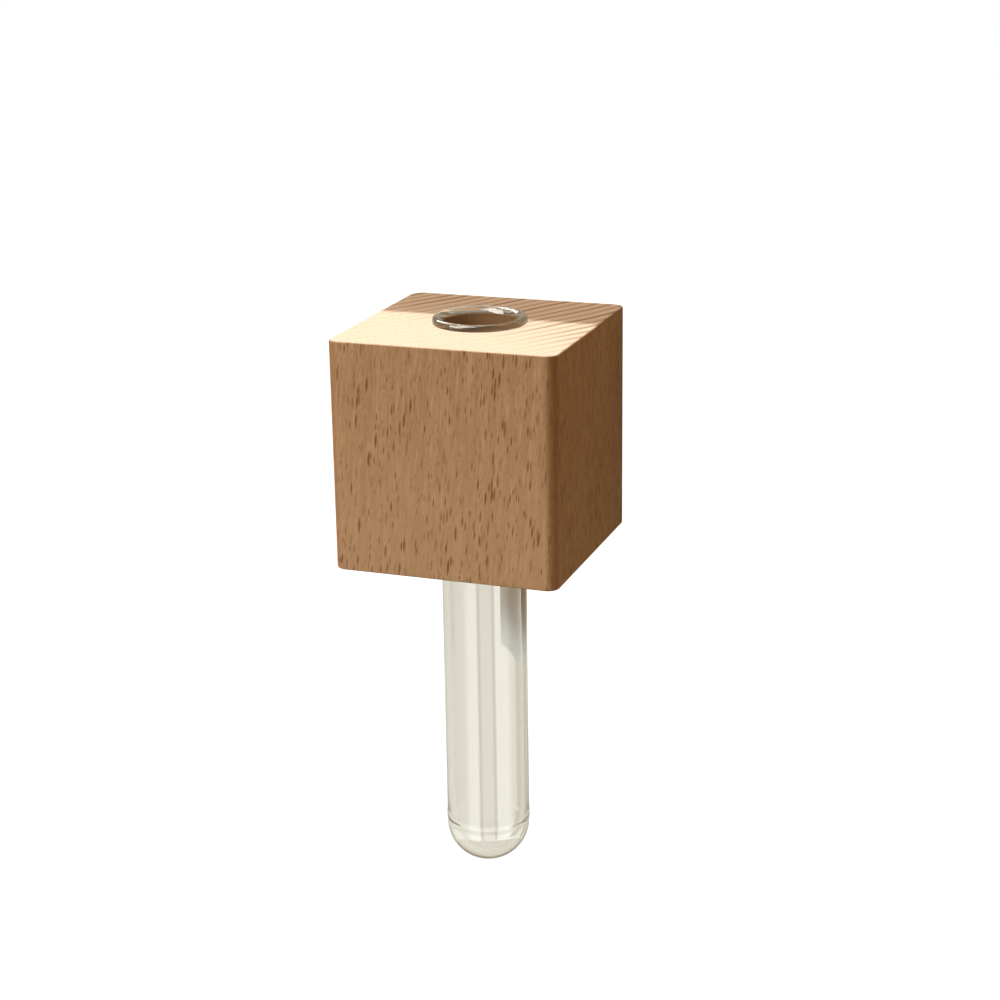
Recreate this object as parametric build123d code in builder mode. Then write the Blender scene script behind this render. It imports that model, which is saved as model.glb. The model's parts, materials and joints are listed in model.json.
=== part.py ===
"""Test tube vase: a beech block with a glass tube hanging through it and two magnets in its back.

The origin is the middle of the block's back face. The front is towards -Y, +X is to the right and +Z is up.
"""
import os

from build123d import *

# Driving dimensions, in millimetres

# Beech block
block_width = 40.0
block_depth = 40.0
block_height = 40.0
upright_edge_radius = 2.0
end_edge_radius = 0.3

# Glass tube, whose length includes the lip
tube_diameter = 15.0
tube_length = 102.0
tube_wall = 1.2
base_thickness = 1.6
lip_height = 1.2
lip_under_radius = 0.15

# Fit of the tube in the block: the lip bears on a narrow ring around the eased hole
bore_clearance = 0.2
bore_ease = 0.15
lip_bearing = 0.2

# Disc magnets, let into the back face and a little below it
magnet_diameter = 12.0
magnet_thickness = 3.0
magnet_edge_radius = 0.25
magnet_recess = 0.2
pocket_clearance = 0.1

# Sizes that follow from them

tube_radius = tube_diameter / 2
inner_radius = tube_radius - tube_wall
bore_radius = tube_radius + bore_clearance
bearing_radius = bore_radius + bore_ease + lip_bearing
lip_radius = bearing_radius + lip_under_radius

tube_y = -block_depth / 2
seat_level = block_height / 2
lip_top_level = seat_level + lip_height
base_level = lip_top_level - tube_length
dome_level = base_level + tube_radius
inner_dome_level = base_level + base_thickness + inner_radius

# The lip's top is half an ellipse, from the lip's outside over to the inner wall
crest_level = seat_level + lip_under_radius
crest_height = lip_top_level - crest_level
crest_half_width = (lip_radius - inner_radius) / 2
crest_radius = inner_radius + crest_half_width

# One magnet is centred in the upper half of the back face, and one in the lower half
magnet_radius = magnet_diameter / 2
magnet_level = block_height / 4
pocket_radius = magnet_radius + pocket_clearance
pocket_depth = magnet_recess + magnet_thickness

back_plane = Plane(origin=(0, 0, 0), x_dir=(-1, 0, 0), z_dir=(0, 1, 0))
tube_plane = Plane.XZ.offset(-tube_y)
tube_axis = Axis((0, tube_y, 0), (0, 0, 1))

os.makedirs("parts", exist_ok=True)

# Wooden block: rounded upright edges, eased end edges, the hole for the tube and the magnets' pockets
with BuildPart() as wooden_block:
    with BuildSketch(Plane.XY.offset(-seat_level)):
        with Locations((0, tube_y)):
            Rectangle(block_width, block_depth)
    extrude(amount=block_height)
    fillet(wooden_block.edges().filter_by(Axis.Z), radius=upright_edge_radius)
    levels = wooden_block.edges().group_by(Axis.Z)
    fillet(levels[0] + levels[-1], radius=end_edge_radius)
    with Locations((0, tube_y, seat_level)):
        Hole(radius=bore_radius)
    bore_rims = wooden_block.edges().filter_by(GeomType.CIRCLE).group_by(SortBy.RADIUS)[-1]
    chamfer(bore_rims, length=bore_ease)
    with Locations(back_plane.location):
        with Locations((0, magnet_level), (0, -magnet_level)):
            Hole(radius=pocket_radius, depth=pocket_depth)
wooden_block.part.label = "wooden_block"
export_step(wooden_block.part, "parts/wooden_block.step")

# Test tube: a round-bottomed wall turned out into a rounded lip, which rests on the block
with BuildPart() as test_tube:
    with BuildSketch(tube_plane):
        with BuildLine():
            outer_dome = CenterArc((0, dome_level), tube_radius, -90, 90)
            outer_wall = Line(outer_dome @ 1, (tube_radius, seat_level))
            Line(outer_wall @ 1, (bearing_radius, seat_level))
            CenterArc((bearing_radius, crest_level), lip_under_radius, -90, 90)
            crest_middle = (crest_radius, crest_level)
            crest = EllipticalCenterArc(crest_middle, crest_half_width, crest_height, arc_size=180)
            Line(crest @ 1, (inner_radius, inner_dome_level))
            inner_dome = CenterArc((0, inner_dome_level), inner_radius, 0, -90)
            Line(inner_dome @ 1, outer_dome @ 0)
        make_face()
    revolve(axis=tube_axis)
test_tube.part.label = "test_tube"
export_step(test_tube.part, "parts/test_tube.step")

# Magnets: flat discs with softened edges, each seated on the floor of its pocket
for name, level in (("upper_magnet", magnet_level), ("lower_magnet", -magnet_level)):
    with BuildPart() as magnet:
        with BuildSketch(Plane.XZ.offset(magnet_recess)):
            with Locations((0, level)):
                Circle(magnet_radius)
        extrude(amount=magnet_thickness)
        fillet(magnet.edges().filter_by(GeomType.CIRCLE), radius=magnet_edge_radius)
    magnet.part.label = name
    export_step(magnet.part, f"parts/{name}.step")

print(f"lip {2 * lip_radius:.2f} mm across, hole {2 * bore_radius:.2f} mm, tube base at {base_level:.2f} mm")
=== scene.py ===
# %% [markdown]
# # A test tube vase
# A small beech block hangs on an upright steel surface by two magnets in its back. A glass test tube
# hangs in a hole through the block by its flared lip, takes water and a few stems, and lifts out.
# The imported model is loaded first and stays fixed: every size below comes from it or is named here.

# %% Load the fixed frame
import json
import math

import bmesh
import bpy
from mathutils import Matrix, Vector


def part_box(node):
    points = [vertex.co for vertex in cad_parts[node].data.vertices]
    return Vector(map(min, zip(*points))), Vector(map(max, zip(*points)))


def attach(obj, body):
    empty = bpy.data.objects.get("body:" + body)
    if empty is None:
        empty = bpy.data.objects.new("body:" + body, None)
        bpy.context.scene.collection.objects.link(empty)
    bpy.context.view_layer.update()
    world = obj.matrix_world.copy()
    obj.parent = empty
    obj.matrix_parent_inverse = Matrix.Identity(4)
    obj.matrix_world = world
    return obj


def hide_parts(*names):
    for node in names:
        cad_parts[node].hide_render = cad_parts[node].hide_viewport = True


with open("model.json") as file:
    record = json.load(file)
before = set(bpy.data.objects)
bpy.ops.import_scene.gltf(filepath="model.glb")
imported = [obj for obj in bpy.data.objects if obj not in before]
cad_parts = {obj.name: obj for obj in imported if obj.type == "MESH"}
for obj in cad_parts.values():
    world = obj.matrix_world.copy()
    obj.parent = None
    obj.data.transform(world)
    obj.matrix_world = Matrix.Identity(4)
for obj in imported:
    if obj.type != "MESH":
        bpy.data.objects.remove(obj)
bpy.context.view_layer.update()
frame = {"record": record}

MM = 0.001


def rounded_mm(values):
    """Metres as millimetres with two decimals, to print."""
    return [round(value / MM, 2) for value in values]


# %% [markdown]
# ## Sizes
# The real vase has few sizes: those of a cube, a tube and two discs. They could be typed in, but the boxes
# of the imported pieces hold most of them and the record's bore holds the inside of the tube, so they are
# read from there and stay the same in both models. What a box can't tell, such as how far an edge is
# rounded or how thick the glass is, is written down as a named value.

# %% Read the sizes
UPRIGHT_RADIUS, END_RADIUS = 2.0 * MM, 0.3 * MM
TUBE_WALL = 1.2 * MM
BORE_CLEARANCE = 0.2 * MM

block_low, block_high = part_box("wooden_block")
tube_low, tube_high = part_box("test_tube")
block_middle = (block_low + block_high) / 2
tube_middle = (tube_low + tube_high) / 2
axis_foot = Vector((tube_middle.x, tube_middle.y, 0))

bores = [mount for mount in frame["record"]["mounts"] if mount["kind"] == "bore"]
inner_radius = bores[0]["dims"]["r_mm"] * MM
tube_radius = inner_radius + TUBE_WALL
lip_radius = (tube_high.x - tube_low.x) / 2
bore_radius = tube_radius + BORE_CLEARANCE
print("tube %.1f mm across, hole %.1f mm" % (2 * tube_radius / MM, 2 * bore_radius / MM))

# %% [markdown]
# ## Helpers for materials
# Wood, glass and nickel each get a finish made of nodes. Nodes can be placed and linked one by one, at
# three or four lines each. Here a helper makes one kind of node and gives back its output, so a finish
# can be written like a sum. Patterns start from Object coordinates, which stay with the piece.


# %% Nodes and links
def feed(tree, socket, value):
    """Set a socket to a plain value, or link an output to it."""
    if isinstance(value, bpy.types.NodeSocket):
        tree.links.new(value, socket)
    else:
        socket.default_value = value


def add(tree, kind, settings=None, **inputs):
    """Add a node, with its settings and its inputs by name (spaces written as _)."""
    made = tree.nodes.new(kind)
    for key, value in (settings or {}).items():
        setattr(made, key, value)
    for key, value in inputs.items():
        feed(tree, made.inputs[key.replace("_", " ")], value)
    return made


def new_material(name):
    """A material with its tree and its Principled shader."""
    material = bpy.data.materials.new(name)
    material.use_nodes = True
    tree = material.node_tree
    return material, tree, tree.nodes["Principled BSDF"]


# %% Sums, steps and mixtures
def worked(tree, kind, operation, values):
    """The outputs of a node that works on values, given in the order of its inputs."""
    made = add(tree, kind, {"operation": operation})
    for socket, value in zip(made.inputs, values):
        feed(tree, socket, value)
    return made.outputs


def sums(tree, operation, *values):
    """A Math node on sockets or numbers."""
    return worked(tree, "ShaderNodeMath", operation, values)["Value"]


def vectors(tree, operation, *values):
    """A Vector Math node on sockets or vectors."""
    return worked(tree, "ShaderNodeVectorMath", operation, values)["Vector"]


def length(tree, vector):
    """How long a vector is."""
    return worked(tree, "ShaderNodeVectorMath", "LENGTH", [vector])["Value"]


def split(tree, vector):
    """The X, Y and Z of a vector."""
    return add(tree, "ShaderNodeSeparateXYZ", Vector=vector).outputs


def ramp(tree, value, low, high, to_low=0.0, to_high=1.0):
    """A smooth step: to_low where a value is at low, to_high where it is at high."""
    made = add(tree, "ShaderNodeMapRange", {"interpolation_type": "SMOOTHSTEP"}, Value=value,
               From_Min=low, From_Max=high, To_Min=to_low, To_Max=to_high)
    return made.outputs["Result"]


def blend(tree, factor, first, second):
    """Mix two colours by a factor."""
    made = add(tree, "ShaderNodeMix", {"data_type": "RGBA"}, Factor=factor, A=first, B=second)
    return made.outputs["Result"]


# %% Places, noise and relief
def in_millimetres(tree):
    """The place on the piece, in millimetres of its own space."""
    place = add(tree, "ShaderNodeTexCoord").outputs["Object"]
    scaled = add(tree, "ShaderNodeVectorMath", {"operation": "SCALE"}, Vector=place, Scale=1 / MM)
    return scaled.outputs["Vector"]


def noise(tree, place, scale, detail, out="Fac"):
    """A noise of a place, stretched by a scale of its own in each direction."""
    stretched = vectors(tree, "MULTIPLY", place, scale)
    return add(tree, "ShaderNodeTexNoise", Vector=stretched, Scale=1.0, Detail=detail).outputs[out]


def relief(tree, shader, height, strength, depth):
    """Give a shader a bump of some depth."""
    bump = add(tree, "ShaderNodeBump", Height=height, Strength=strength, Distance=depth)
    feed(tree, shader.inputs["Normal"], bump.outputs["Normal"])


# %% [markdown]
# ## Beech
# Beech is known by its flecks: thin rays run out from the heart of the tree, and where a face cuts them
# they show as short dark spindles along the grain. The growth rings cross the end grain as lines and the
# sides as faint bands. A flat pattern on each face would not meet at the edges. A solid texture does: the
# grain has its own three directions, along the ray, around the ring and up the trunk, and each face cuts
# through it as a saw would. Its masks are one node group, shared by the sanded and the drilled wood.

# %% The directions of the grain
RING_TURN = math.radians(27)
LEAN, LEAN_CHANGE = 0.085, -0.0004
DRIFT_SCALE, DRIFT_DETAIL = (0.05, 0.05, 0.022), 1.0
DRIFT_REACH = (1.0, 0.6, 0)
NOISE_MIDDLE = (0.5, 0.5, 0.5)


def grain_place(tree):
    """A place in the trunk in millimetres: X along the ray, Y around the ring, Z up the trunk."""
    part = split(tree, in_millimetres(tree))
    slope = sums(tree, "MULTIPLY_ADD", part["Z"], LEAN_CHANGE, LEAN)
    across = sums(tree, "SUBTRACT", part["X"], sums(tree, "MULTIPLY", part["Z"], slope))
    upright = add(tree, "ShaderNodeCombineXYZ", X=across, Y=part["Y"], Z=part["Z"]).outputs["Vector"]
    turned_grain = add(tree, "ShaderNodeMapping", Vector=upright, Rotation=(0, 0, RING_TURN))
    grain = turned_grain.outputs["Vector"]
    drift = noise(tree, grain, DRIFT_SCALE, DRIFT_DETAIL, "Color")
    drift = vectors(tree, "SUBTRACT", drift, NOISE_MIDDLE)
    return vectors(tree, "ADD", grain, vectors(tree, "MULTIPLY", drift, DRIFT_REACH))


# %% Rings
HEART = (150.0, 0, 0)
LEVEL_ONLY = (1, 1, 0)
RING_WIDTH = 2.4
WANDER_SCALE, WANDER_DETAIL, WANDER_REACH = (0.1, 0.1, 0.1), 1.0, 0.45
LATE_RISE, LATE_FALL = (0.35, 0.78), (0.8, 1.0)
RING_STRENGTH = (0.55, 1.0)


def ring_mask(tree, grain):
    """Growth rings: each year darkens slowly to its late wood, then ends at once."""
    from_heart = vectors(tree, "MULTIPLY", vectors(tree, "ADD", grain, HEART), LEVEL_ONLY)
    ring = sums(tree, "DIVIDE", length(tree, from_heart), RING_WIDTH)
    wander = noise(tree, from_heart, WANDER_SCALE, WANDER_DETAIL)
    ring = sums(tree, "MULTIPLY_ADD", wander, WANDER_REACH, ring)
    year = sums(tree, "FRACT", ring)
    late = sums(tree, "MULTIPLY", ramp(tree, year, *LATE_RISE), ramp(tree, year, *LATE_FALL, 1.0, 0.0))
    each = add(tree, "ShaderNodeTexWhiteNoise", {"noise_dimensions": "1D"}, W=sums(tree, "FLOOR", ring))
    strength = ramp(tree, each.outputs["Value"], 0.0, 1.0, *RING_STRENGTH)
    return sums(tree, "MULTIPLY", late, strength)


# %% Flecks
RAY_SIZE = (7.0, 0.245, 3.5)
RAY_ROUNDNESS = 1.35
FLECK_REACH = (0.27, 0.54)
FLECK_CHANCE, FLECK_DEPTH = (0.1, 0.95), (0.3, 1.0)
FLECK_EDGE = (0.68, 1.0)


def fleck_mask(tree, grain):
    """Cut rays: one spindle to a cell, each with its own size and depth of colour."""
    cells = vectors(tree, "DIVIDE", grain, RAY_SIZE)
    ray = add(tree, "ShaderNodeTexVoronoi", {"distance": "MINKOWSKI"}, Vector=cells, Scale=1.0,
              Exponent=RAY_ROUNDNESS, Randomness=1.0).outputs
    chance = add(tree, "ShaderNodeSeparateColor", Color=ray["Color"]).outputs
    reach = ramp(tree, chance["Red"], 0.0, 1.0, *FLECK_REACH)
    near = sums(tree, "DIVIDE", ray["Distance"], reach)
    depth = ramp(tree, chance["Green"], *FLECK_CHANCE, *FLECK_DEPTH)
    return sums(tree, "MULTIPLY", ramp(tree, near, *FLECK_EDGE, 1.0, 0.0), depth)


# %% Finer grain, and the masks in one group
FINE_GRAIN = {
    "Fibres": ((2.0, 2.0, 0.11), 4.0),
    "Threads": ((3.6, 3.6, 0.22), 1.0),
    "Grit": ((2.4, 2.4, 0.9), 2.0),
    "Clouds": ((0.16, 0.16, 0.05), 2.0),
}


def grain_group():
    """A node group that puts out the masks of beech."""
    tree = bpy.data.node_groups.new("beech_grain", "ShaderNodeTree")
    grain = grain_place(tree)
    masks = {"Rings": ring_mask(tree, grain), "Flecks": fleck_mask(tree, grain)}
    for name, (scale, detail) in FINE_GRAIN.items():
        masks[name] = noise(tree, grain, scale, detail)
    for name in masks:
        tree.interface.new_socket(name, in_out="OUTPUT", socket_type="NodeSocketFloat")
    add(tree, "NodeGroupOutput", **masks)
    return tree


beech_grain = grain_group()
print("beech grain:", len(beech_grain.nodes), "nodes")

# %% [markdown]
# ## Sanded faces
# The block is planed and sanded but not varnished, so it is matt, darker along its upright edges and paler
# towards its bottom. The long faces and the two ends could be two materials, but then the eased edges
# between them would show a hard line. One material that fades from one to the other by the direction a
# face looks in has no such line. Its colour is laid on in thin coats, from the pale wood to the dark flecks.

# %% Long faces
PALE_BEECH = (0.585, 0.36, 0.20, 1)
DEEP_BEECH = (0.475, 0.275, 0.137, 1)
DARK_BEECH = (0.39, 0.205, 0.09, 1)
PALEST_BEECH = (0.76, 0.50, 0.30, 1)
FLECK_BROWN = (0.23, 0.11, 0.045, 1)
EDGE_BROWN = (0.34, 0.16, 0.06, 1)
RING_TONE = 0.4
CLOUD_TONE = (0.3, 0.7, 0.0, 0.35)
COATS = (
    ("Fibres", (0.35, 0.7, 0.0, 0.7), DEEP_BEECH),
    ("Grit", (0.45, 0.75, 0.0, 0.5), DARK_BEECH),
    ("Threads", (0.52, 0.78, 0.0, 0.45), PALEST_BEECH))
PALING_BELOW, PALING_ABOVE = 0.24, 0.0
FLECK_SHARE = 0.95
EDGE_DARK_WIDTH, EDGE_DARK_SHARE = 0.65 * UPRIGHT_RADIUS, 0.6


def long_face(tree, grain, place):
    """Clouds and rings, coats of fine grain, paler towards the bottom, flecks and darker upright edges."""
    tone = sums(tree, "MULTIPLY_ADD", grain["Rings"], RING_TONE, ramp(tree, grain["Clouds"], *CLOUD_TONE))
    colour = blend(tree, tone, PALE_BEECH, DEEP_BEECH)
    for mask, reach, coat in COATS:
        colour = blend(tree, ramp(tree, grain[mask], *reach), colour, coat)
    height = split(tree, place)["Z"]
    # Paler towards the bottom of the block.
    paling = ramp(tree, height, block_low.z / MM, block_high.z / MM, PALING_BELOW, PALING_ABOVE)
    colour = blend(tree, paling, colour, PALEST_BEECH)
    colour = blend(tree, sums(tree, "MULTIPLY", grain["Flecks"], FLECK_SHARE), colour, FLECK_BROWN)
    # Darker along the upright edges.
    side = split(tree, vectors(tree, "ABSOLUTE", vectors(tree, "SUBTRACT", place, block_middle / MM)))
    corner = sums(tree, "MINIMUM", side["X"], side["Y"])
    flat_end = (block_high.x - block_low.x) / 2 - UPRIGHT_RADIUS
    edge_darkening = ramp(tree, corner, flat_end / MM, (flat_end + EDGE_DARK_WIDTH) / MM, 0.0, EDGE_DARK_SHARE)
    return blend(tree, edge_darkening, colour, EDGE_BROWN)


# %% End faces
END_PALE = (0.65, 0.47, 0.343, 1)
END_RING = (0.22, 0.11, 0.048, 1)
RING_HIGHLIGHT_FADE, RING_DEPTH = (-32.0, -8.0), (0.1, 1.0)
FADE_TURN = 0.45
PORES = (0.45, 0.75, 0.0, 0.2)


def end_face(tree, grain, place):
    """Dark ring lines that fade towards the front left as a painted highlight, and fine pores."""
    part = split(tree, place)
    # Painted highlight: the rings fade where the top is most brightly lit, at its front left.
    aslant = sums(tree, "MULTIPLY_ADD", part["X"], FADE_TURN, part["Y"])
    depth = ramp(tree, aslant, *RING_HIGHLIGHT_FADE, *RING_DEPTH)
    colour = blend(tree, sums(tree, "MULTIPLY", grain["Rings"], depth), END_PALE, END_RING)
    return blend(tree, ramp(tree, grain["Fibres"], *PORES), colour, END_RING)


# %% The sanded wood
END_FACING = (0.5, 0.95)
FLECK_RISE = -0.35
SANDED_STRENGTH, SANDED_DEPTH = 0.25, 0.06 * MM
SANDED_ROUGHNESS = (0.3, 0.7, 0.5, 0.66)
WOOD_SPECULAR = 0.05


def sanded_beech():
    """Planed and sanded beech: flecks on the long faces, rings on the end faces."""
    material, tree, shader = new_material("sanded_beech")
    grain = add(tree, "ShaderNodeGroup", {"node_tree": beech_grain}).outputs
    place = in_millimetres(tree)
    looks = split(tree, add(tree, "ShaderNodeNewGeometry").outputs["Normal"])
    end = ramp(tree, sums(tree, "ABSOLUTE", looks["Z"]), *END_FACING)
    colour = blend(tree, end, long_face(tree, grain, place), end_face(tree, grain, place))
    feed(tree, shader.inputs["Base Color"], colour)
    height = sums(tree, "MULTIPLY_ADD", grain["Flecks"], FLECK_RISE, grain["Fibres"])
    relief(tree, shader, height, SANDED_STRENGTH, SANDED_DEPTH)
    feed(tree, shader.inputs["Roughness"], ramp(tree, grain["Fibres"], *SANDED_ROUGHNESS))
    shader.inputs["Specular IOR Level"].default_value = WOOD_SPECULAR
    return material


sanded = sanded_beech()
print("sanded beech:", len(sanded.node_tree.nodes), "nodes")

# %% [markdown]
# ## Drilled holes
# A drill leaves bare wood: rougher and darker than the sanded faces, with fine rings where the bit turned.
# Those rings could be cut into the mesh, at thousands of faces for something that is hardly seen, so a
# wave along the hole gives them as bump. The grain is the same group, because it is the same wood.

# %% The drilled wood
DRILL_BROWN = (0.36, 0.195, 0.09, 1)
DRILL_TONE = (0.3, 0.7, 0.0, 0.6)
DRILL_FLECKS = 0.6
DRILL_TURNS, DRILL_WAVER, DRILL_DETAIL = 0.26, 1.5, 1.0
DRILL_STRENGTH, DRILL_DEPTH = 0.3, 0.08 * MM
DRILL_ROUGHNESS = (0.3, 0.7, 0.7, 0.85)


def drilled_beech():
    """Bare drilled beech: rougher and darker, with the drill's fine rings."""
    material, tree, shader = new_material("drilled_beech")
    grain = add(tree, "ShaderNodeGroup", {"node_tree": beech_grain}).outputs
    tone = sums(tree, "ADD", grain["Rings"], ramp(tree, grain["Fibres"], *DRILL_TONE))
    colour = blend(tree, tone, DARK_BEECH, DRILL_BROWN)
    colour = blend(tree, sums(tree, "MULTIPLY", grain["Flecks"], DRILL_FLECKS), colour, FLECK_BROWN)
    feed(tree, shader.inputs["Base Color"], colour)
    turns = add(tree, "ShaderNodeTexWave", {"bands_direction": "Z"}, Vector=in_millimetres(tree),
                Scale=DRILL_TURNS, Distortion=DRILL_WAVER, Detail=DRILL_DETAIL)
    relief(tree, shader, turns.outputs["Fac"], DRILL_STRENGTH, DRILL_DEPTH)
    feed(tree, shader.inputs["Roughness"], ramp(tree, grain["Fibres"], *DRILL_ROUGHNESS))
    shader.inputs["Specular IOR Level"].default_value = WOOD_SPECULAR
    return material


drilled = drilled_beech()
print("drilled beech:", len(drilled.node_tree.nodes), "nodes")

# %% [markdown]
# ## Helpers for shapes
# The tube, the magnets and the walls of the holes are all round. Cylinders could be joined and cut for
# them, but a line of corners that is spun around an axis, as on a lathe, gives the whole section at once.
# Each corner may be rounded: a vertex bevel on the line puts an arc there, so that a whole round bottom
# is one rounded corner.

# %% A lathe
ROUND_PROFILE = 0.5
MERGE_GAP = 0.0005 * MM
SHARP = (0, 0)


def turned(corners, foot, axis, across, steps):
    """Spin corners of (radius, height, rounding, segments) around an axis through foot."""
    bm = bmesh.new()
    line = [bm.verts.new(foot + across * radius + axis * height) for radius, height, _, _ in corners]
    for pair in zip(line, line[1:]):
        bm.edges.new(pair)
    for corner, (_, _, rounding, segments) in zip(line, corners):
        if rounding:
            bmesh.ops.bevel(
                bm, geom=[corner], offset=rounding, offset_type="OFFSET", segments=segments,
                profile=ROUND_PROFILE, affect="VERTICES", material=-1)
    bmesh.ops.remove_doubles(bm, verts=bm.verts, dist=MERGE_GAP)
    bmesh.ops.spin(
        bm, geom=bm.verts[:] + bm.edges[:], cent=foot, axis=axis, angle=2 * math.pi, steps=steps,
        use_merge=True)
    bmesh.ops.remove_doubles(bm, verts=bm.verts, dist=MERGE_GAP)
    bmesh.ops.recalc_face_normals(bm, faces=bm.faces)
    return bm


# %% From a bmesh to a piece
CREASE_ANGLE = math.radians(40)


def mesh_of(name, bm, materials):
    """Turn a bmesh into a mesh with its materials."""
    mesh = bpy.data.meshes.new(name)
    bm.to_mesh(mesh)
    bm.free()
    for material in materials:
        mesh.materials.append(material)
    return mesh


def into_scene(name, content):
    """Put a mesh, a camera or a light into the scene as an object."""
    made = bpy.data.objects.new(name, content)
    bpy.context.scene.collection.objects.link(made)
    return made


def finished(name, bm, materials, body, node):
    """Make a piece of a bmesh, smooth but for its sharp edges, in place of a CAD node."""
    for face in bm.faces:
        face.smooth = True
    for edge in bm.edges:
        edge.smooth = edge.calc_face_angle(0) < CREASE_ANGLE
    open_edges = sum(not edge.is_manifold for edge in bm.edges)
    piece = into_scene(name, mesh_of(name, bm, materials))
    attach(piece, body)
    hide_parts(node)
    print(f"{name}: {len(piece.data.polygons)} faces, {open_edges} open edges")
    return piece


# %% [markdown]
# ## The block
# The block is sawn to a cube, its four upright edges are rounded over and the edges of the two end faces
# are only eased with sandpaper. A Bevel modifier would need a weight on every edge for that. Two bevels in
# the mesh give each kind of edge its own radius: the upright edges first, then the rims of the two ends.

# %% Shape the block
UPRIGHT_SEGMENTS, END_SEGMENTS = 12, 4
FLAT_FACING = 0.999
UP, BACK, RIGHT = Vector((0, 0, 1)), Vector((0, 1, 0)), Vector((1, 0, 0))


def ease(bm, edges, radius, segments):
    """Round some edges of a mesh."""
    bmesh.ops.bevel(
        bm, geom=edges, offset=radius, offset_type="OFFSET", segments=segments, profile=ROUND_PROFILE,
        affect="EDGES", material=-1)
    bm.normal_update()


def flat_faces(bm, direction):
    """The faces of a mesh that look in a direction."""
    return [face for face in bm.faces if face.normal.dot(direction) > FLAT_FACING]


block = bmesh.new()
bmesh.ops.create_cube(block, size=1.0)
bmesh.ops.scale(block, vec=block_high - block_low, verts=block.verts)
bmesh.ops.translate(block, vec=block_middle, verts=block.verts)
upright_edges = [edge for edge in block.edges if abs(edge.verts[0].co.z - edge.verts[1].co.z) > MM]
ease(block, upright_edges, UPRIGHT_RADIUS, UPRIGHT_SEGMENTS)
ends = flat_faces(block, UP) + flat_faces(block, -UP)
ease(block, list({edge for face in ends for edge in face.edges}), END_RADIUS, END_SEGMENTS)
print("block:", len(block.faces), "faces before drilling")

# %% [markdown]
# ## The hole and the pockets
# One hole goes straight down through the block, its edges eased so that they don't splinter, and two blind
# pockets in the back take the magnets. A Boolean could cut them, but afterwards the drilled faces have to
# be found among the sanded ones. So their walls are turned and marked as drilled first. Then a flat face of
# the block is taken out and filled again around their rims, and the mesh stays closed.

# %% Turn the walls
DRILLED_SLOT = 1
BORE_EASE = 0.15 * MM
POCKET_CLEARANCE = 0.1 * MM
BORE_STEPS = 96
MAGNETS = ("upper_magnet", "lower_magnet")


def disc_sizes(magnet):
    """A magnet's radius, the foot of its axis, and the levels of its two faces."""
    low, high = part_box(magnet)
    return (high.x - low.x) / 2, Vector(((low.x + high.x) / 2, 0, (low.z + high.z) / 2)), low.y, high.y


walls = [turned([
    (bore_radius + BORE_EASE, block_low.z, *SHARP),
    (bore_radius, block_low.z + BORE_EASE, *SHARP),
    (bore_radius, block_high.z - BORE_EASE, *SHARP),
    (bore_radius + BORE_EASE, block_high.z, *SHARP),
], axis_foot, UP, RIGHT, BORE_STEPS)]
for magnet in MAGNETS:
    radius, foot, floor_level, _ = disc_sizes(magnet)
    walls.append(turned([
        (0, floor_level, *SHARP),
        (radius + POCKET_CLEARANCE, floor_level, *SHARP),
        (radius + POCKET_CLEARANCE, block_high.y, *SHARP),
    ], foot, BACK, RIGHT, BORE_STEPS))
print("walls:", [len(wall.faces) for wall in walls], "faces")

# %% Set the walls into the block
EVEN_WEIGHT = 100

for direction in (UP, -UP, BACK):
    widest = max(flat_faces(block, direction), key=lambda face: face.calc_area())
    bmesh.ops.delete(block, geom=[widest], context="FACES_ONLY")

for wall in walls:
    for face in wall.faces:
        face.material_index = DRILLED_SLOT
    wall_mesh = mesh_of("wall", wall, [])
    block.from_mesh(wall_mesh)
    bpy.data.meshes.remove(wall_mesh)

for direction, level in ((UP, block_high.z), (-UP, -block_low.z), (BACK, block_high.y)):
    rim = [edge for edge in block.edges if edge.is_boundary
           and all(abs(vert.co.dot(direction) - level) < MERGE_GAP for vert in edge.verts)]
    bmesh.ops.triangle_fill(block, use_beauty=True, use_dissolve=False, edges=rim, normal=direction)
bmesh.ops.remove_doubles(block, verts=block.verts, dist=MERGE_GAP)
bmesh.ops.recalc_face_normals(block, faces=block.faces)
print("drilled:", sum(face.material_index == DRILLED_SLOT for face in block.faces), "faces")

wooden_block = finished("beech_block", block, [sanded, drilled], "block", "wooden_block")
even = wooden_block.modifiers.new("even_shading", "WEIGHTED_NORMAL")
even.keep_sharp = True
even.weight = EVEN_WEIGHT

# %% [markdown]
# ## Clear glass
# The tube is drawn glass: clear, with a faint warm green where much of it is seen end on, lengthwise
# streaks from drawing that make its reflections waver, and a trace of handling. A tinted surface would be
# as dark on a thin wall as on a thick one, so the tint is an absorption inside, which deepens with
# thickness. The streaks are a very low bump. Light that is thrown to and fro in the lip can't be followed
# to its end, so after a few turns the glass itself glows the dim brown that such light brings along: a
# painted glow.

# %% Glass
GLASS_IOR = 1.5
GLASS_TINT, TINT_DENSITY = (0.62, 0.66, 0.42, 1), 45.0
STREAK_SCALE, STREAK_DETAIL = (0.45, 0.45, 0.02), 2.0
STREAK_STRENGTH, STREAK_DEPTH = 0.08, 0.1 * MM
TOUCH_SCALE, TOUCH_DETAIL = (0.2, 0.2, 0.12), 4.0
TOUCH_ROUGHNESS = (0.5, 0.8, 0.0, 0.05)
GUIDED_TURNS = 2.5
GUIDED_GLOW_BROWN = (0.075, 0.055, 0.03, 1)
WHITE, BLACK = (1, 1, 1, 1), (0, 0, 0, 1)


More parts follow.
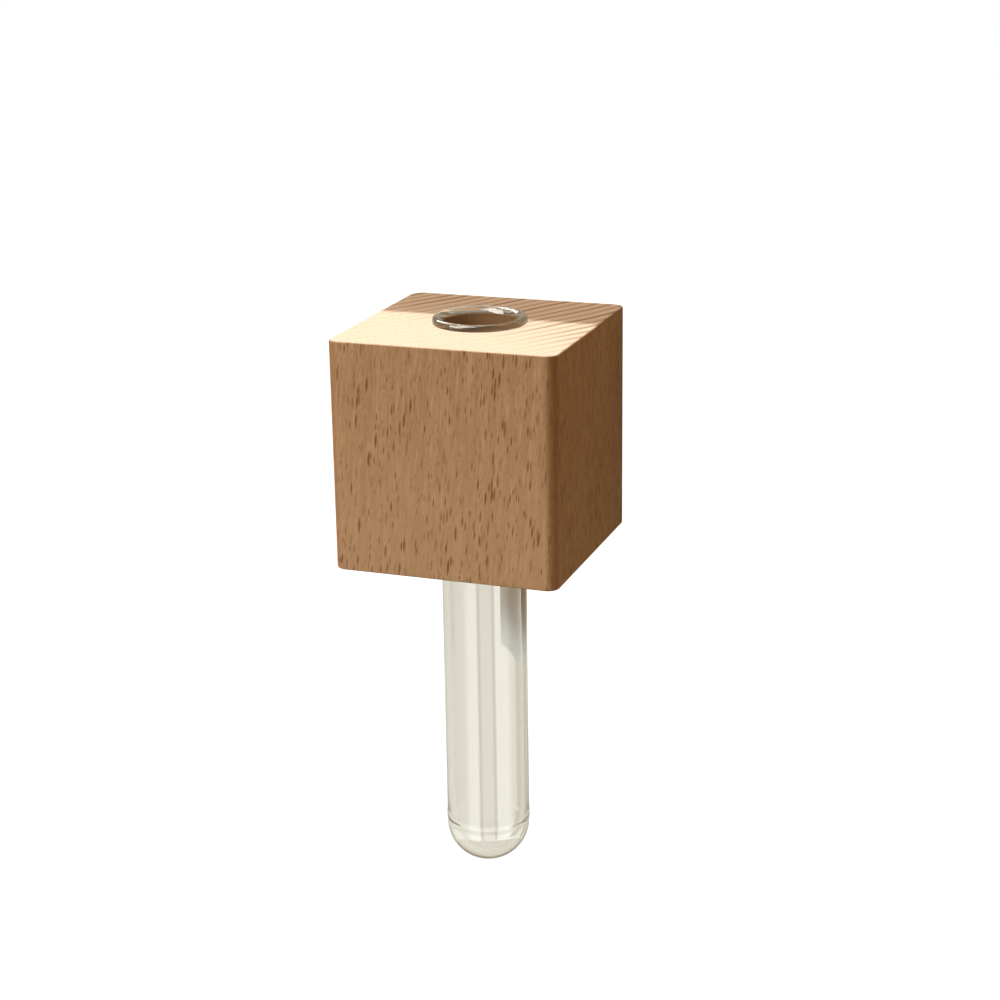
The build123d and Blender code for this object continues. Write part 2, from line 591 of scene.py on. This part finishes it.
def tube_glass():
    """Clear drawn glass with faint streaks and a trace of handling."""
    material, tree, shader = new_material("clear_glass")
    shader.inputs["Base Color"].default_value = WHITE
    shader.inputs["Transmission Weight"].default_value = 1.0
    shader.inputs["IOR"].default_value = GLASS_IOR
    place = in_millimetres(tree)
    streaks = noise(tree, place, STREAK_SCALE, STREAK_DETAIL)
    relief(tree, shader, streaks, STREAK_STRENGTH, STREAK_DEPTH)
    touch = noise(tree, place, TOUCH_SCALE, TOUCH_DETAIL)
    feed(tree, shader.inputs["Roughness"], ramp(tree, touch, *TOUCH_ROUGHNESS))
    # Painted glow: after a few glossy turns the glass itself glows dim brown, for light guided on through
    # it.
    turns = add(tree, "ShaderNodeLightPath").outputs["Glossy Depth"]
    guided = sums(tree, "GREATER_THAN", turns, GUIDED_TURNS)
    feed(tree, shader.inputs["Emission Color"], blend(tree, guided, BLACK, GUIDED_GLOW_BROWN))
    shader.inputs["Emission Strength"].default_value = 1.0
    tint = add(tree, "ShaderNodeVolumeAbsorption", Color=GLASS_TINT, Density=TINT_DENSITY)
    tree.links.new(tint.outputs["Volume"], tree.nodes["Material Output"].inputs["Volume"])
    return material


glass = tube_glass()
print("glass:", len(glass.node_tree.nodes), "nodes")

# %% [markdown]
# ## The tube
# A test tube is blown from drawn tubing: one end is closed to a round bottom, which leaves a low swell and
# a step inside where it was melted on, and the other end is melted and flared into a lip. It could be a
# thin sheet with a Solidify modifier, but then the lip and the thicker base would be as thin as the wall.
# A single line of corners, outside up and inside down, has every thickness in it, and spinning it once
# round closes it. The round bottom is one corner, rounded by the tube's own radius.

# %% Turn the tube
BASE_THICKNESS = 1.6 * MM
SEAT_GAP = 0.02 * MM
NECK_ROUND, UNDER_ROUND, LIP_ROUND = 0.18 * MM, 0.15 * MM, 0.65 * MM
SWELL, SWELL_FOOT, SWELL_CREST, SWELL_END = 0.12 * MM, 0.3 * MM, 1.2 * MM, 3 * MM
CREST_ROUND, SWELL_END_ROUND = 0.6 * MM, 0.8 * MM
SEAL_STEP, SEAL_TOP, SEAL_FOOT, SEAL_ROUND = 0.14 * MM, 1.1 * MM, 0.4 * MM, 0.3 * MM
TUBE_STEPS = 192
DOME_SEGMENTS, LIP_SEGMENTS, NECK_SEGMENTS = 40, 14, 5


def hide_from(made, *rays):
    """Take an object out of some kinds of rays."""
    for ray in rays:
        setattr(made, "visible_" + ray, False)


seat = block_high.z + SEAT_GAP
dome_level = tube_low.z + tube_radius
base_level = tube_low.z + BASE_THICKNESS
seal_radius = inner_radius - SEAL_STEP
flare_round = lip_radius - inner_radius - LIP_ROUND
outside = [
    (0, tube_low.z, *SHARP),
    (tube_radius, tube_low.z, tube_radius, DOME_SEGMENTS),
    (tube_radius, dome_level + SWELL_FOOT, *SHARP),
    (tube_radius + SWELL, dome_level + SWELL_CREST, CREST_ROUND, NECK_SEGMENTS),
    (tube_radius, dome_level + SWELL_END, SWELL_END_ROUND, NECK_SEGMENTS),
    (tube_radius, seat, NECK_ROUND, NECK_SEGMENTS),
    (lip_radius, seat, UNDER_ROUND, NECK_SEGMENTS),
    (lip_radius, tube_high.z, LIP_ROUND, LIP_SEGMENTS)]
inside = [
    (inner_radius, tube_high.z, flare_round, LIP_SEGMENTS),
    (inner_radius, dome_level + SEAL_TOP, SEAL_ROUND, NECK_SEGMENTS),
    (seal_radius, dome_level + SEAL_FOOT, SEAL_ROUND, NECK_SEGMENTS),
    (seal_radius, base_level, seal_radius, DOME_SEGMENTS),
    (0, base_level, *SHARP)]
tube = turned(outside + inside, axis_foot, UP, RIGHT, TUBE_STEPS)
test_tube = finished("glass_tube", tube, [glass], "tube", "test_tube")
hide_from(test_tube, "shadow")

# %% [markdown]
# ## Nickel plate
# Disc magnets are pressed powder under bright nickel. A plain mirror looks like chrome on a model. Real
# plating has a faint mottle in its colour, and pushing the disc home leaves fine rub marks, so one noise
# changes the colour and another, drawn out sideways, the roughness and a very low bump.

# %% Nickel
BRIGHT_NICKEL, DULL_NICKEL = (0.56, 0.555, 0.54, 1), (0.45, 0.445, 0.43, 1)
MOTTLE_SCALE, MOTTLE_DETAIL, MOTTLE_REACH = (0.5, 0.5, 0.5), 4.0, (0.35, 0.7)
RUB_SCALE, RUB_DETAIL = (0.5, 1, 6), 3.0
RUB_ROUGHNESS = (0.35, 0.75, 0.12, 0.34)
RUB_STRENGTH, RUB_DEPTH = 0.1, 0.02 * MM


def nickel_plate():
    """Bright nickel with a soft mottle and fine rub marks."""
    material, tree, shader = new_material("nickel_plate")
    place = in_millimetres(tree)
    mottle = noise(tree, place, MOTTLE_SCALE, MOTTLE_DETAIL)
    colour = blend(tree, ramp(tree, mottle, *MOTTLE_REACH), BRIGHT_NICKEL, DULL_NICKEL)
    feed(tree, shader.inputs["Base Color"], colour)
    shader.inputs["Metallic"].default_value = 1.0
    rubs = noise(tree, place, RUB_SCALE, RUB_DETAIL)
    feed(tree, shader.inputs["Roughness"], ramp(tree, rubs, *RUB_ROUGHNESS))
    relief(tree, shader, rubs, RUB_STRENGTH, RUB_DEPTH)
    return material


nickel = nickel_plate()
print("nickel:", len(nickel.node_tree.nodes), "nodes")

# %% [markdown]
# ## The magnets
# A magnet's edges are softened so that the plating holds there. A plain cylinder would have none of that
# edge's bright line, so each disc is turned from four corners, two of them rounded.

# %% Turn the magnets
MAGNET_ROUND, MAGNET_SEGMENTS = 0.25 * MM, 6

for magnet in MAGNETS:
    radius, foot, deep_level, face_level = disc_sizes(magnet)
    disc = turned([
        (0, deep_level, *SHARP),
        (radius, deep_level, MAGNET_ROUND, MAGNET_SEGMENTS),
        (radius, face_level, MAGNET_ROUND, MAGNET_SEGMENTS),
        (0, face_level, *SHARP),
    ], foot, BACK, RIGHT, BORE_STEPS)
    finished("nickel_" + magnet, disc, [nickel], "block", magnet)

# %% [markdown]
# ## The camera
# A camera could be moved by eye until the picture looks right. This one was fitted to the outline of the
# block and the tube, so it stands where the picture was taken from: a little to the right and above, close
# by. It turns around the middle of the block, and the aim moves the block off the middle of the picture.

# %% Camera
PICTURE_WIDTH = 1000
FOCAL_PIXELS = 2112.55
CAMERA_YAW = math.radians(19.898)
CAMERA_PITCH = math.radians(17.705)
CAMERA_ROLL = math.radians(-0.862)
CAMERA_DISTANCE = 366.74 * MM
AIM_RIGHT, AIM_UP = 3.133 * MM, -11.320 * MM
SENSOR_WIDTH = 36.0
NEAREST_SEEN = 10 * MM

lens = bpy.data.cameras.new("camera")
lens.sensor_width = SENSOR_WIDTH
lens.lens = FOCAL_PIXELS / PICTURE_WIDTH * SENSOR_WIDTH
lens.clip_start = NEAREST_SEEN

outwards = math.cos(CAMERA_PITCH)
away = Vector((math.sin(CAMERA_YAW) * outwards, -math.cos(CAMERA_YAW) * outwards, math.sin(CAMERA_PITCH)))
sideways = Vector((math.cos(CAMERA_YAW), math.sin(CAMERA_YAW), 0))
roll = Matrix.Rotation(CAMERA_ROLL, 3, away)
right, above = roll @ sideways, roll @ away.cross(sideways)
eye = block_middle + AIM_RIGHT * right + AIM_UP * above + CAMERA_DISTANCE * away
camera = into_scene("camera", lens)
camera.matrix_world = Matrix.Translation(eye) @ Matrix((right, above, away)).transposed().to_4x4()
bpy.context.scene.camera = camera
print("camera at", rounded_mm(eye), "mm, lens %.1f mm" % lens.lens)

# %% [markdown]
# ## The room
# The vase hangs well above a pale floor, on plain white. Enough lamps would burn the floor out to white,
# and the wood with it. So the floor and the world simply show white to the camera. Glass and metal mirror
# the room instead, which is duller and warmer than a white sheet: a Light Path node tells the rays apart,
# and each kind gets its own colour. None of this puts more light on the wood.

# %% What the surroundings show
GLOSS_TINT = (0.52, 0.47, 0.40, 1)


def surroundings(tree, through_glass):
    """What shows to the camera, in gloss and through glass, and a mask of these three kinds of rays."""
    rays = add(tree, "ShaderNodeLightPath").outputs
    colour = blend(tree, rays["Is Glossy Ray"], WHITE, GLOSS_TINT)
    colour = blend(tree, rays["Is Transmission Ray"], colour, through_glass)
    seen = sums(tree, "MAXIMUM", rays["Is Transmission Ray"], rays["Is Glossy Ray"])
    return colour, sums(tree, "MAXIMUM", seen, rays["Is Camera Ray"])


# %% [markdown]
# ## The floor
# A plane of one colour would look the same everywhere through the tube. This floor is lighter under the
# vase and far off than in between, so three tints follow each other in circles around the tube. Close to
# the vase it shows a little less than white, and what the lamps add there keeps a soft shadow.

# %% Floor
FLOOR_LEVEL = tube_low.z - 220 * MM
FLOOR_SIDE = 6.0
FLOOR_BOUNCE = (0.20, 0.185, 0.165, 1)
MATT = 0.9
NEAR_TINT, NEAR_REACH = (0.53, 0.52, 0.47, 1), (0.33, 0.387)
ROOM_TINT = (0.35, 0.343, 0.297, 1)
FAR_TINT, FAR_REACH = (0.52, 0.515, 0.47, 1), (1.0, 1.3)
WHITE_NEAR, WHITE_FAR, WHITE_REACH = 0.82, 1.0, (0.35, 0.9)


def matt_paint(name, colour):
    """A plain matt paint, with its tree and its shader."""
    material, tree, shader = new_material(name)
    shader.inputs["Base Color"].default_value = colour
    shader.inputs["Roughness"].default_value = MATT
    return material, tree, shader


def floor_paint():
    """A pale matt floor that shows white and keeps a soft shadow."""
    material, tree, shader = matt_paint("pale_floor", FLOOR_BOUNCE)
    from_tube = vectors(tree, "SUBTRACT", add(tree, "ShaderNodeTexCoord").outputs["Object"], axis_foot)
    distance = length(tree, vectors(tree, "MULTIPLY", from_tube, LEVEL_ONLY))
    tint = blend(tree, ramp(tree, distance, *NEAR_REACH), NEAR_TINT, ROOM_TINT)
    tint = blend(tree, ramp(tree, distance, *FAR_REACH), tint, FAR_TINT)
    colour, seen = surroundings(tree, tint)
    feed(tree, shader.inputs["Emission Color"], colour)
    white = ramp(tree, distance, *WHITE_REACH, WHITE_NEAR, WHITE_FAR)
    feed(tree, shader.inputs["Emission Strength"], sums(tree, "MULTIPLY", seen, white))
    return material


def staged(name, bm, material):
    """Make a part of the studio of a bmesh."""
    made = into_scene(name, mesh_of(name, bm, [material]))
    return made


ground = bmesh.new()
bmesh.ops.create_grid(ground, x_segments=1, y_segments=1, size=FLOOR_SIDE / 2)
bmesh.ops.translate(ground, vec=UP * FLOOR_LEVEL, verts=ground.verts)
staged("floor", ground, floor_paint())
print("floor %.0f mm under the tube" % ((tube_low.z - FLOOR_LEVEL) / MM))

# %% [markdown]
# ## The world
# The world is the light that comes from everywhere. A white one would fill every shade, so it is a weak,
# warm light on the wood, as from the walls of a room, and white only to the camera. Seen through glass it
# is pale at the horizon and brown higher up, which gives the lip its brown rim.

# %% World
HORIZON_TINT = (0.60, 0.59, 0.54, 1)
UPPER_ROOM = (0.12, 0.08, 0.05, 1)
ROOM_RISE = (0.55, 0.8)
WARM_ROOM = (1.0, 0.70, 0.33, 1)
AMBIENT = 0.35

world = bpy.data.worlds.new("studio")
world.use_nodes = True
bpy.context.scene.world = world
sky = world.node_tree
backdrop = sky.nodes["Background"]
rise = split(sky, add(sky, "ShaderNodeTexCoord").outputs["Generated"])["Z"]
walls_and_ceiling = blend(sky, ramp(sky, rise, *ROOM_RISE), HORIZON_TINT, UPPER_ROOM)
shown, seen = surroundings(sky, walls_and_ceiling)
feed(sky, backdrop.inputs["Color"], blend(sky, seen, WARM_ROOM, shown))
feed(sky, backdrop.inputs["Strength"], sums(sky, "MAXIMUM", AMBIENT, seen))
print("world:", len(sky.nodes), "nodes, ambient", AMBIENT)

# %% [markdown]
# ## The lamps
# Two lamps light the wood. A small cool one high behind gives the bright top its crisp shade, and a large
# soft one at the front left fills the front face and leaves the right one darker. A single sun lamp would
# make every shade equally hard. The lamps stay out of reflections, because the glass gets bright shapes of
# its own below.

# %% Lamps
DAYLIGHT = (0.82, 0.94, 1.0)
WARM_LIGHT = (1.0, 0.985, 0.955)
KEY_PLACE = Vector((-0.02, 0.44, 0.80))
WINDOW_PLACE = Vector((-0.56, -0.67, 0.81))
LAMPS = (
    ("key", KEY_PLACE, 0.05, 12.4, DAYLIGHT),
    ("window", WINDOW_PLACE, 0.6, 9.35, WARM_LIGHT))

for name, place, side, power, colour in LAMPS:
    light = bpy.data.lights.new(name, "AREA")
    light.size = side
    light.energy = power
    light.color = colour
    lamp = into_scene(name, light)
    lamp.location = place
    lamp.rotation_euler = (block_middle - place).to_track_quat("-Z", "Y").to_euler()
    hide_from(lamp, "glossy", "transmission")
    print(f"{name}: {power} W, {side} m wide, {(place - block_middle).length:.2f} m away")

# %% [markdown]
# ## What the glass reflects
# Clear glass is seen by what it reflects and bends. The tube shows soft bright lengthwise bands, from
# windows and walls around it. Each could be a card of its own, but their edges would be hard to soften. A
# single drum around the tube, whose brightness follows the turn around it, has them all, and shows only
# in reflections.

# %% The bands
CARD_WHITE = (1, 1, 0.95, 1)
SHADOW_OLIVE = (0.58, 0.48, 0.30, 1)
DIM_RISE = (-138 * MM, -120 * MM)
DIM_TURN = (math.radians(35), math.radians(60))
BRIGHTEST = 10.0
HALF_TURN, FULL_TURN = 180, 360
BANDS = (
    (-180, 0.8), (-150, 0.8), (-130, 1.3), (-100, 2.2), (-80, 2.7), (-66, 3.2), (-58, 4.2), (-48, 6.2),
    (-26, 6.8), (-21, 2.0), (-18, 0.5), (-15, 2.6), (-11, 3.8), (14, 3.8), (17.5, 2.6), (20, 0.6), (23, 2.0),
    (28, 6.7), (58, 6.4), (74, 3.8), (96, 2.8), (115, 1.8), (150, 0.8), (180, 0.8))


def around_tube(tree):
    """The turn from the front of the tube, and the height, of a place on the drum."""
    place = vectors(tree, "SUBTRACT", add(tree, "ShaderNodeTexCoord").outputs["Object"], axis_foot)
    place = add(tree, "ShaderNodeMapping", Vector=place, Rotation=(0, 0, -CAMERA_YAW)).outputs["Vector"]
    side = split(tree, place)
    return sums(tree, "ARCTAN2", side["X"], sums(tree, "MULTIPLY", side["Y"], -1.0)), side["Z"]


def band_colour(tree):
    """White, but a painted shadow of dim olive at the upper right."""
    turn, height = around_tube(tree)
    # Painted shadow: dim olive on the drum's upper right side.
    shaded_upper_right = sums(tree, "MULTIPLY", ramp(tree, height, *DIM_RISE), ramp(tree, turn, *DIM_TURN))
    return blend(tree, shaded_upper_right, CARD_WHITE, SHADOW_OLIVE)


def band_level(tree):
    """The drum's brightness, by the turn: a colour ramp with a stop for each row of BANDS."""
    turn, _ = around_tube(tree)
    bands = add(tree, "ShaderNodeValToRGB", Fac=sums(tree, "MULTIPLY_ADD", turn, 0.5 / math.pi, 0.5))
    stops = bands.color_ramp.elements
    for degrees, _ in BANDS[1:-1]:
        stops.new((degrees + HALF_TURN) / FULL_TURN)
    for stop, (_, level) in zip(stops, BANDS):
        share = level / BRIGHTEST
        stop.color = (share, share, share, 1)
    return sums(tree, "MULTIPLY", bands.outputs["Color"], BRIGHTEST)


# %% The drum
DRUM_RADIUS, DRUM_SEGMENTS = 0.24, 96
DRUM_LOW, DRUM_HIGH = FLOOR_LEVEL + 10 * MM, -50 * MM
OUT_OF_SIGHT = ("camera", "diffuse", "shadow", "volume_scatter")
FIRST_BOUNCE = 0.5


def settled(tree, value):
    """A plain value, or the output of a function that works it out in a tree."""
    return value(tree) if callable(value) else value


def glow(name, colour, level):
    """A material that glows in a colour at a level, and lights no wood."""
    material, tree, _ = new_material(name)
    bounces = add(tree, "ShaderNodeLightPath").outputs["Diffuse Depth"]
    direct = sums(tree, "LESS_THAN", bounces, FIRST_BOUNCE)
    strength = sums(tree, "MULTIPLY", direct, settled(tree, level))
    shine = add(tree, "ShaderNodeEmission", Color=settled(tree, colour), Strength=strength)
    tree.links.new(shine.outputs["Emission"], tree.nodes["Material Output"].inputs["Surface"])
    return material


drum_wall = bmesh.new()
bmesh.ops.create_cone(
    drum_wall, cap_ends=False, segments=DRUM_SEGMENTS, radius1=DRUM_RADIUS, radius2=DRUM_RADIUS,
    depth=DRUM_HIGH - DRUM_LOW)
bmesh.ops.translate(drum_wall, vec=axis_foot + UP * (DRUM_LOW + DRUM_HIGH) / 2, verts=drum_wall.verts)
drum = staged("drum", drum_wall, glow("drum_bands", band_colour, band_level))
hide_from(drum, *OUT_OF_SIGHT, "transmission")
print("drum:", len(BANDS), "stops around the tube")

# %% [markdown]
# ## What shows through the glass
# At its right edge and in its upper right the tube bends dim things from behind into view. Dark paint on
# the glass would do it from one side only. Two dim cards behind the tube are bent by the glass as the real
# things are. One is olive from top to bottom. The other is brown in its middle, a painted shadow of the
# block, and fades to the colour of the room, so that it has no hard edges.

# %% Dim cards behind the tube
CARD_OLIVE = (1, 0.93, 0.68, 1)
CORNER_SHADOW_BROWN = (0.09, 0.045, 0.005, 1)
CORNER_FOOT = (-140 * MM, -122 * MM)
CORNER_TOP = (-96 * MM, -74 * MM)
DIM_LEVEL = 0.42
EDGE_DISTANCE, EDGE_TURN = 0.25, (140, 165)
CORNER_DISTANCE, CORNER_TURN = 0.24, (130, 176)
HALF_METRE = 0.5
STAND_UP = Matrix.Rotation(math.pi / 2, 4, "X")


def card(name, width, height, place, material):
    """An upright sheet that faces the front, put in its place by a matrix."""
    sheet = bmesh.new()
    bmesh.ops.create_grid(sheet, x_segments=1, y_segments=1, size=HALF_METRE)
    bmesh.ops.scale(sheet, vec=(width, height, 1), verts=sheet.verts)
    bmesh.ops.transform(sheet, matrix=place @ STAND_UP, verts=sheet.verts)
    return staged(name, sheet, material)


def corner_shadow_colour(tree):
    """Painted shadow brown in the middle of the card, as light as the room at its foot and its top."""
    height = split(tree, add(tree, "ShaderNodeTexCoord").outputs["Object"])["Z"]
    # Painted shadow of the block: brown between the card's foot and its top.
    below, above = ramp(tree, height, *CORNER_FOOT), ramp(tree, height, *CORNER_TOP, 1.0, 0.0)
    return blend(tree, sums(tree, "MULTIPLY", below, above), ROOM_TINT, CORNER_SHADOW_BROWN)


DIM_CARDS = (
    ("dim_edge", EDGE_DISTANCE, EDGE_TURN, DRUM_LOW, DRUM_HIGH, CARD_OLIVE, DIM_LEVEL),
    ("dim_corner", CORNER_DISTANCE, CORNER_TURN, CORNER_FOOT[0], CORNER_TOP[1], corner_shadow_colour, 1.0))

for name, distance, (begin, end), low, high, colour, level in DIM_CARDS:
    width = 2 * distance * math.tan(math.radians(end - begin) / 2)
    around = Matrix.Rotation(CAMERA_YAW + math.radians(begin + end) / 2, 4, "Z")
    out = Matrix.Translation((0, -distance, (low + high) / 2))
    place = Matrix.Translation(axis_foot) @ around @ out
    hide_from(card(name, width, high - low, place, glow(name, colour, level)), *OUT_OF_SIGHT)
    print(f"{name}: {width / MM:.0f} x {(high - low) / MM:.0f} mm")

# %% [markdown]
# ## Highlights on the lip
# A fire-polished lip catches the windows as small bright lines. Lamps that show in reflections could make
# them, but then each highlight would be as large as its lamp. Two bright panes that are seen only in
# reflections can have any size and light nothing.

# %% Window panes
PANES = (
    (WINDOW_PLACE, 0.85, 1.9, 14.0),
    (Vector((-0.54, 0.52, 0.64)), 0.35, 0.5, 12.0))

for number, (place, width, height, level) in enumerate(PANES):
    facing = (place - block_middle).to_track_quat("Y", "Z").to_matrix().to_4x4()
    stand = Matrix.Translation(place) @ facing
    pane = card(f"pane_{number}", width, height, stand, glow("pane", CARD_WHITE, level))
    hide_from(pane, *OUT_OF_SIGHT, "transmission")
    print(f"pane {number}: {width} x {height} m, level {level}")

# %% [markdown]
# ## Shades on the wood
# A straight shade lies along the back of the top, and the right face darkens towards its far end: that is
# what an upright surface behind the block does. Painted into the wood, these shades would stay there in
# any other light. A whole wall would show in the picture. So a flag cuts off the lamp behind, just high
# enough for a shade of this depth, and a brown board beside the block darkens the right face. Neither is
# seen itself.

# %% Shade on the back of the top
SHADE_DEPTH = 16.3 * MM
FLAG_WIDTH = 200 * MM
FLAG_BLACK = (0.02, 0.02, 0.02, 1)

shade_edge = Vector((block_middle.x, block_high.y - SHADE_DEPTH, block_high.z))
to_key = KEY_PLACE - shade_edge
flag_height = to_key.z / to_key.y * SHADE_DEPTH
flag_place = Matrix.Translation((0, block_high.y, block_high.z + flag_height / 2))
flag_paint, _, _ = matt_paint("dark_card", FLAG_BLACK)
flag = card("flag", FLAG_WIDTH, flag_height, flag_place, flag_paint)
hide_from(flag, "camera", "diffuse", "glossy", "transmission", "volume_scatter")
print("flag reaches %.1f mm above the top" % (flag_height / MM))

# %% Shade on the far end of the right face
BOARD_BROWN = (0.24, 0.11, 0.02, 1)
BOARD_SIDE = 300 * MM

board_middle = block_high + Vector((BOARD_SIDE / 2, 0, -BOARD_SIDE / 2))
board_paint, _, _ = matt_paint("brown_card", BOARD_BROWN)
board = card("board", BOARD_SIDE, BOARD_SIDE, Matrix.Translation(board_middle), board_paint)
hide_from(board, "camera", "glossy", "transmission", "volume_scatter")
print("board: %.0f mm wide" % (BOARD_SIDE / MM))

# %% [markdown]
# ## The picture
# Blender's usual view softens bright colours. The Standard view shows them as they are written, so that a
# colour in a material can be compared with the picture.

# %% Colours as they are written
view = bpy.context.scene.view_settings
view.view_transform = "Standard"
print("view:", view.view_transform)
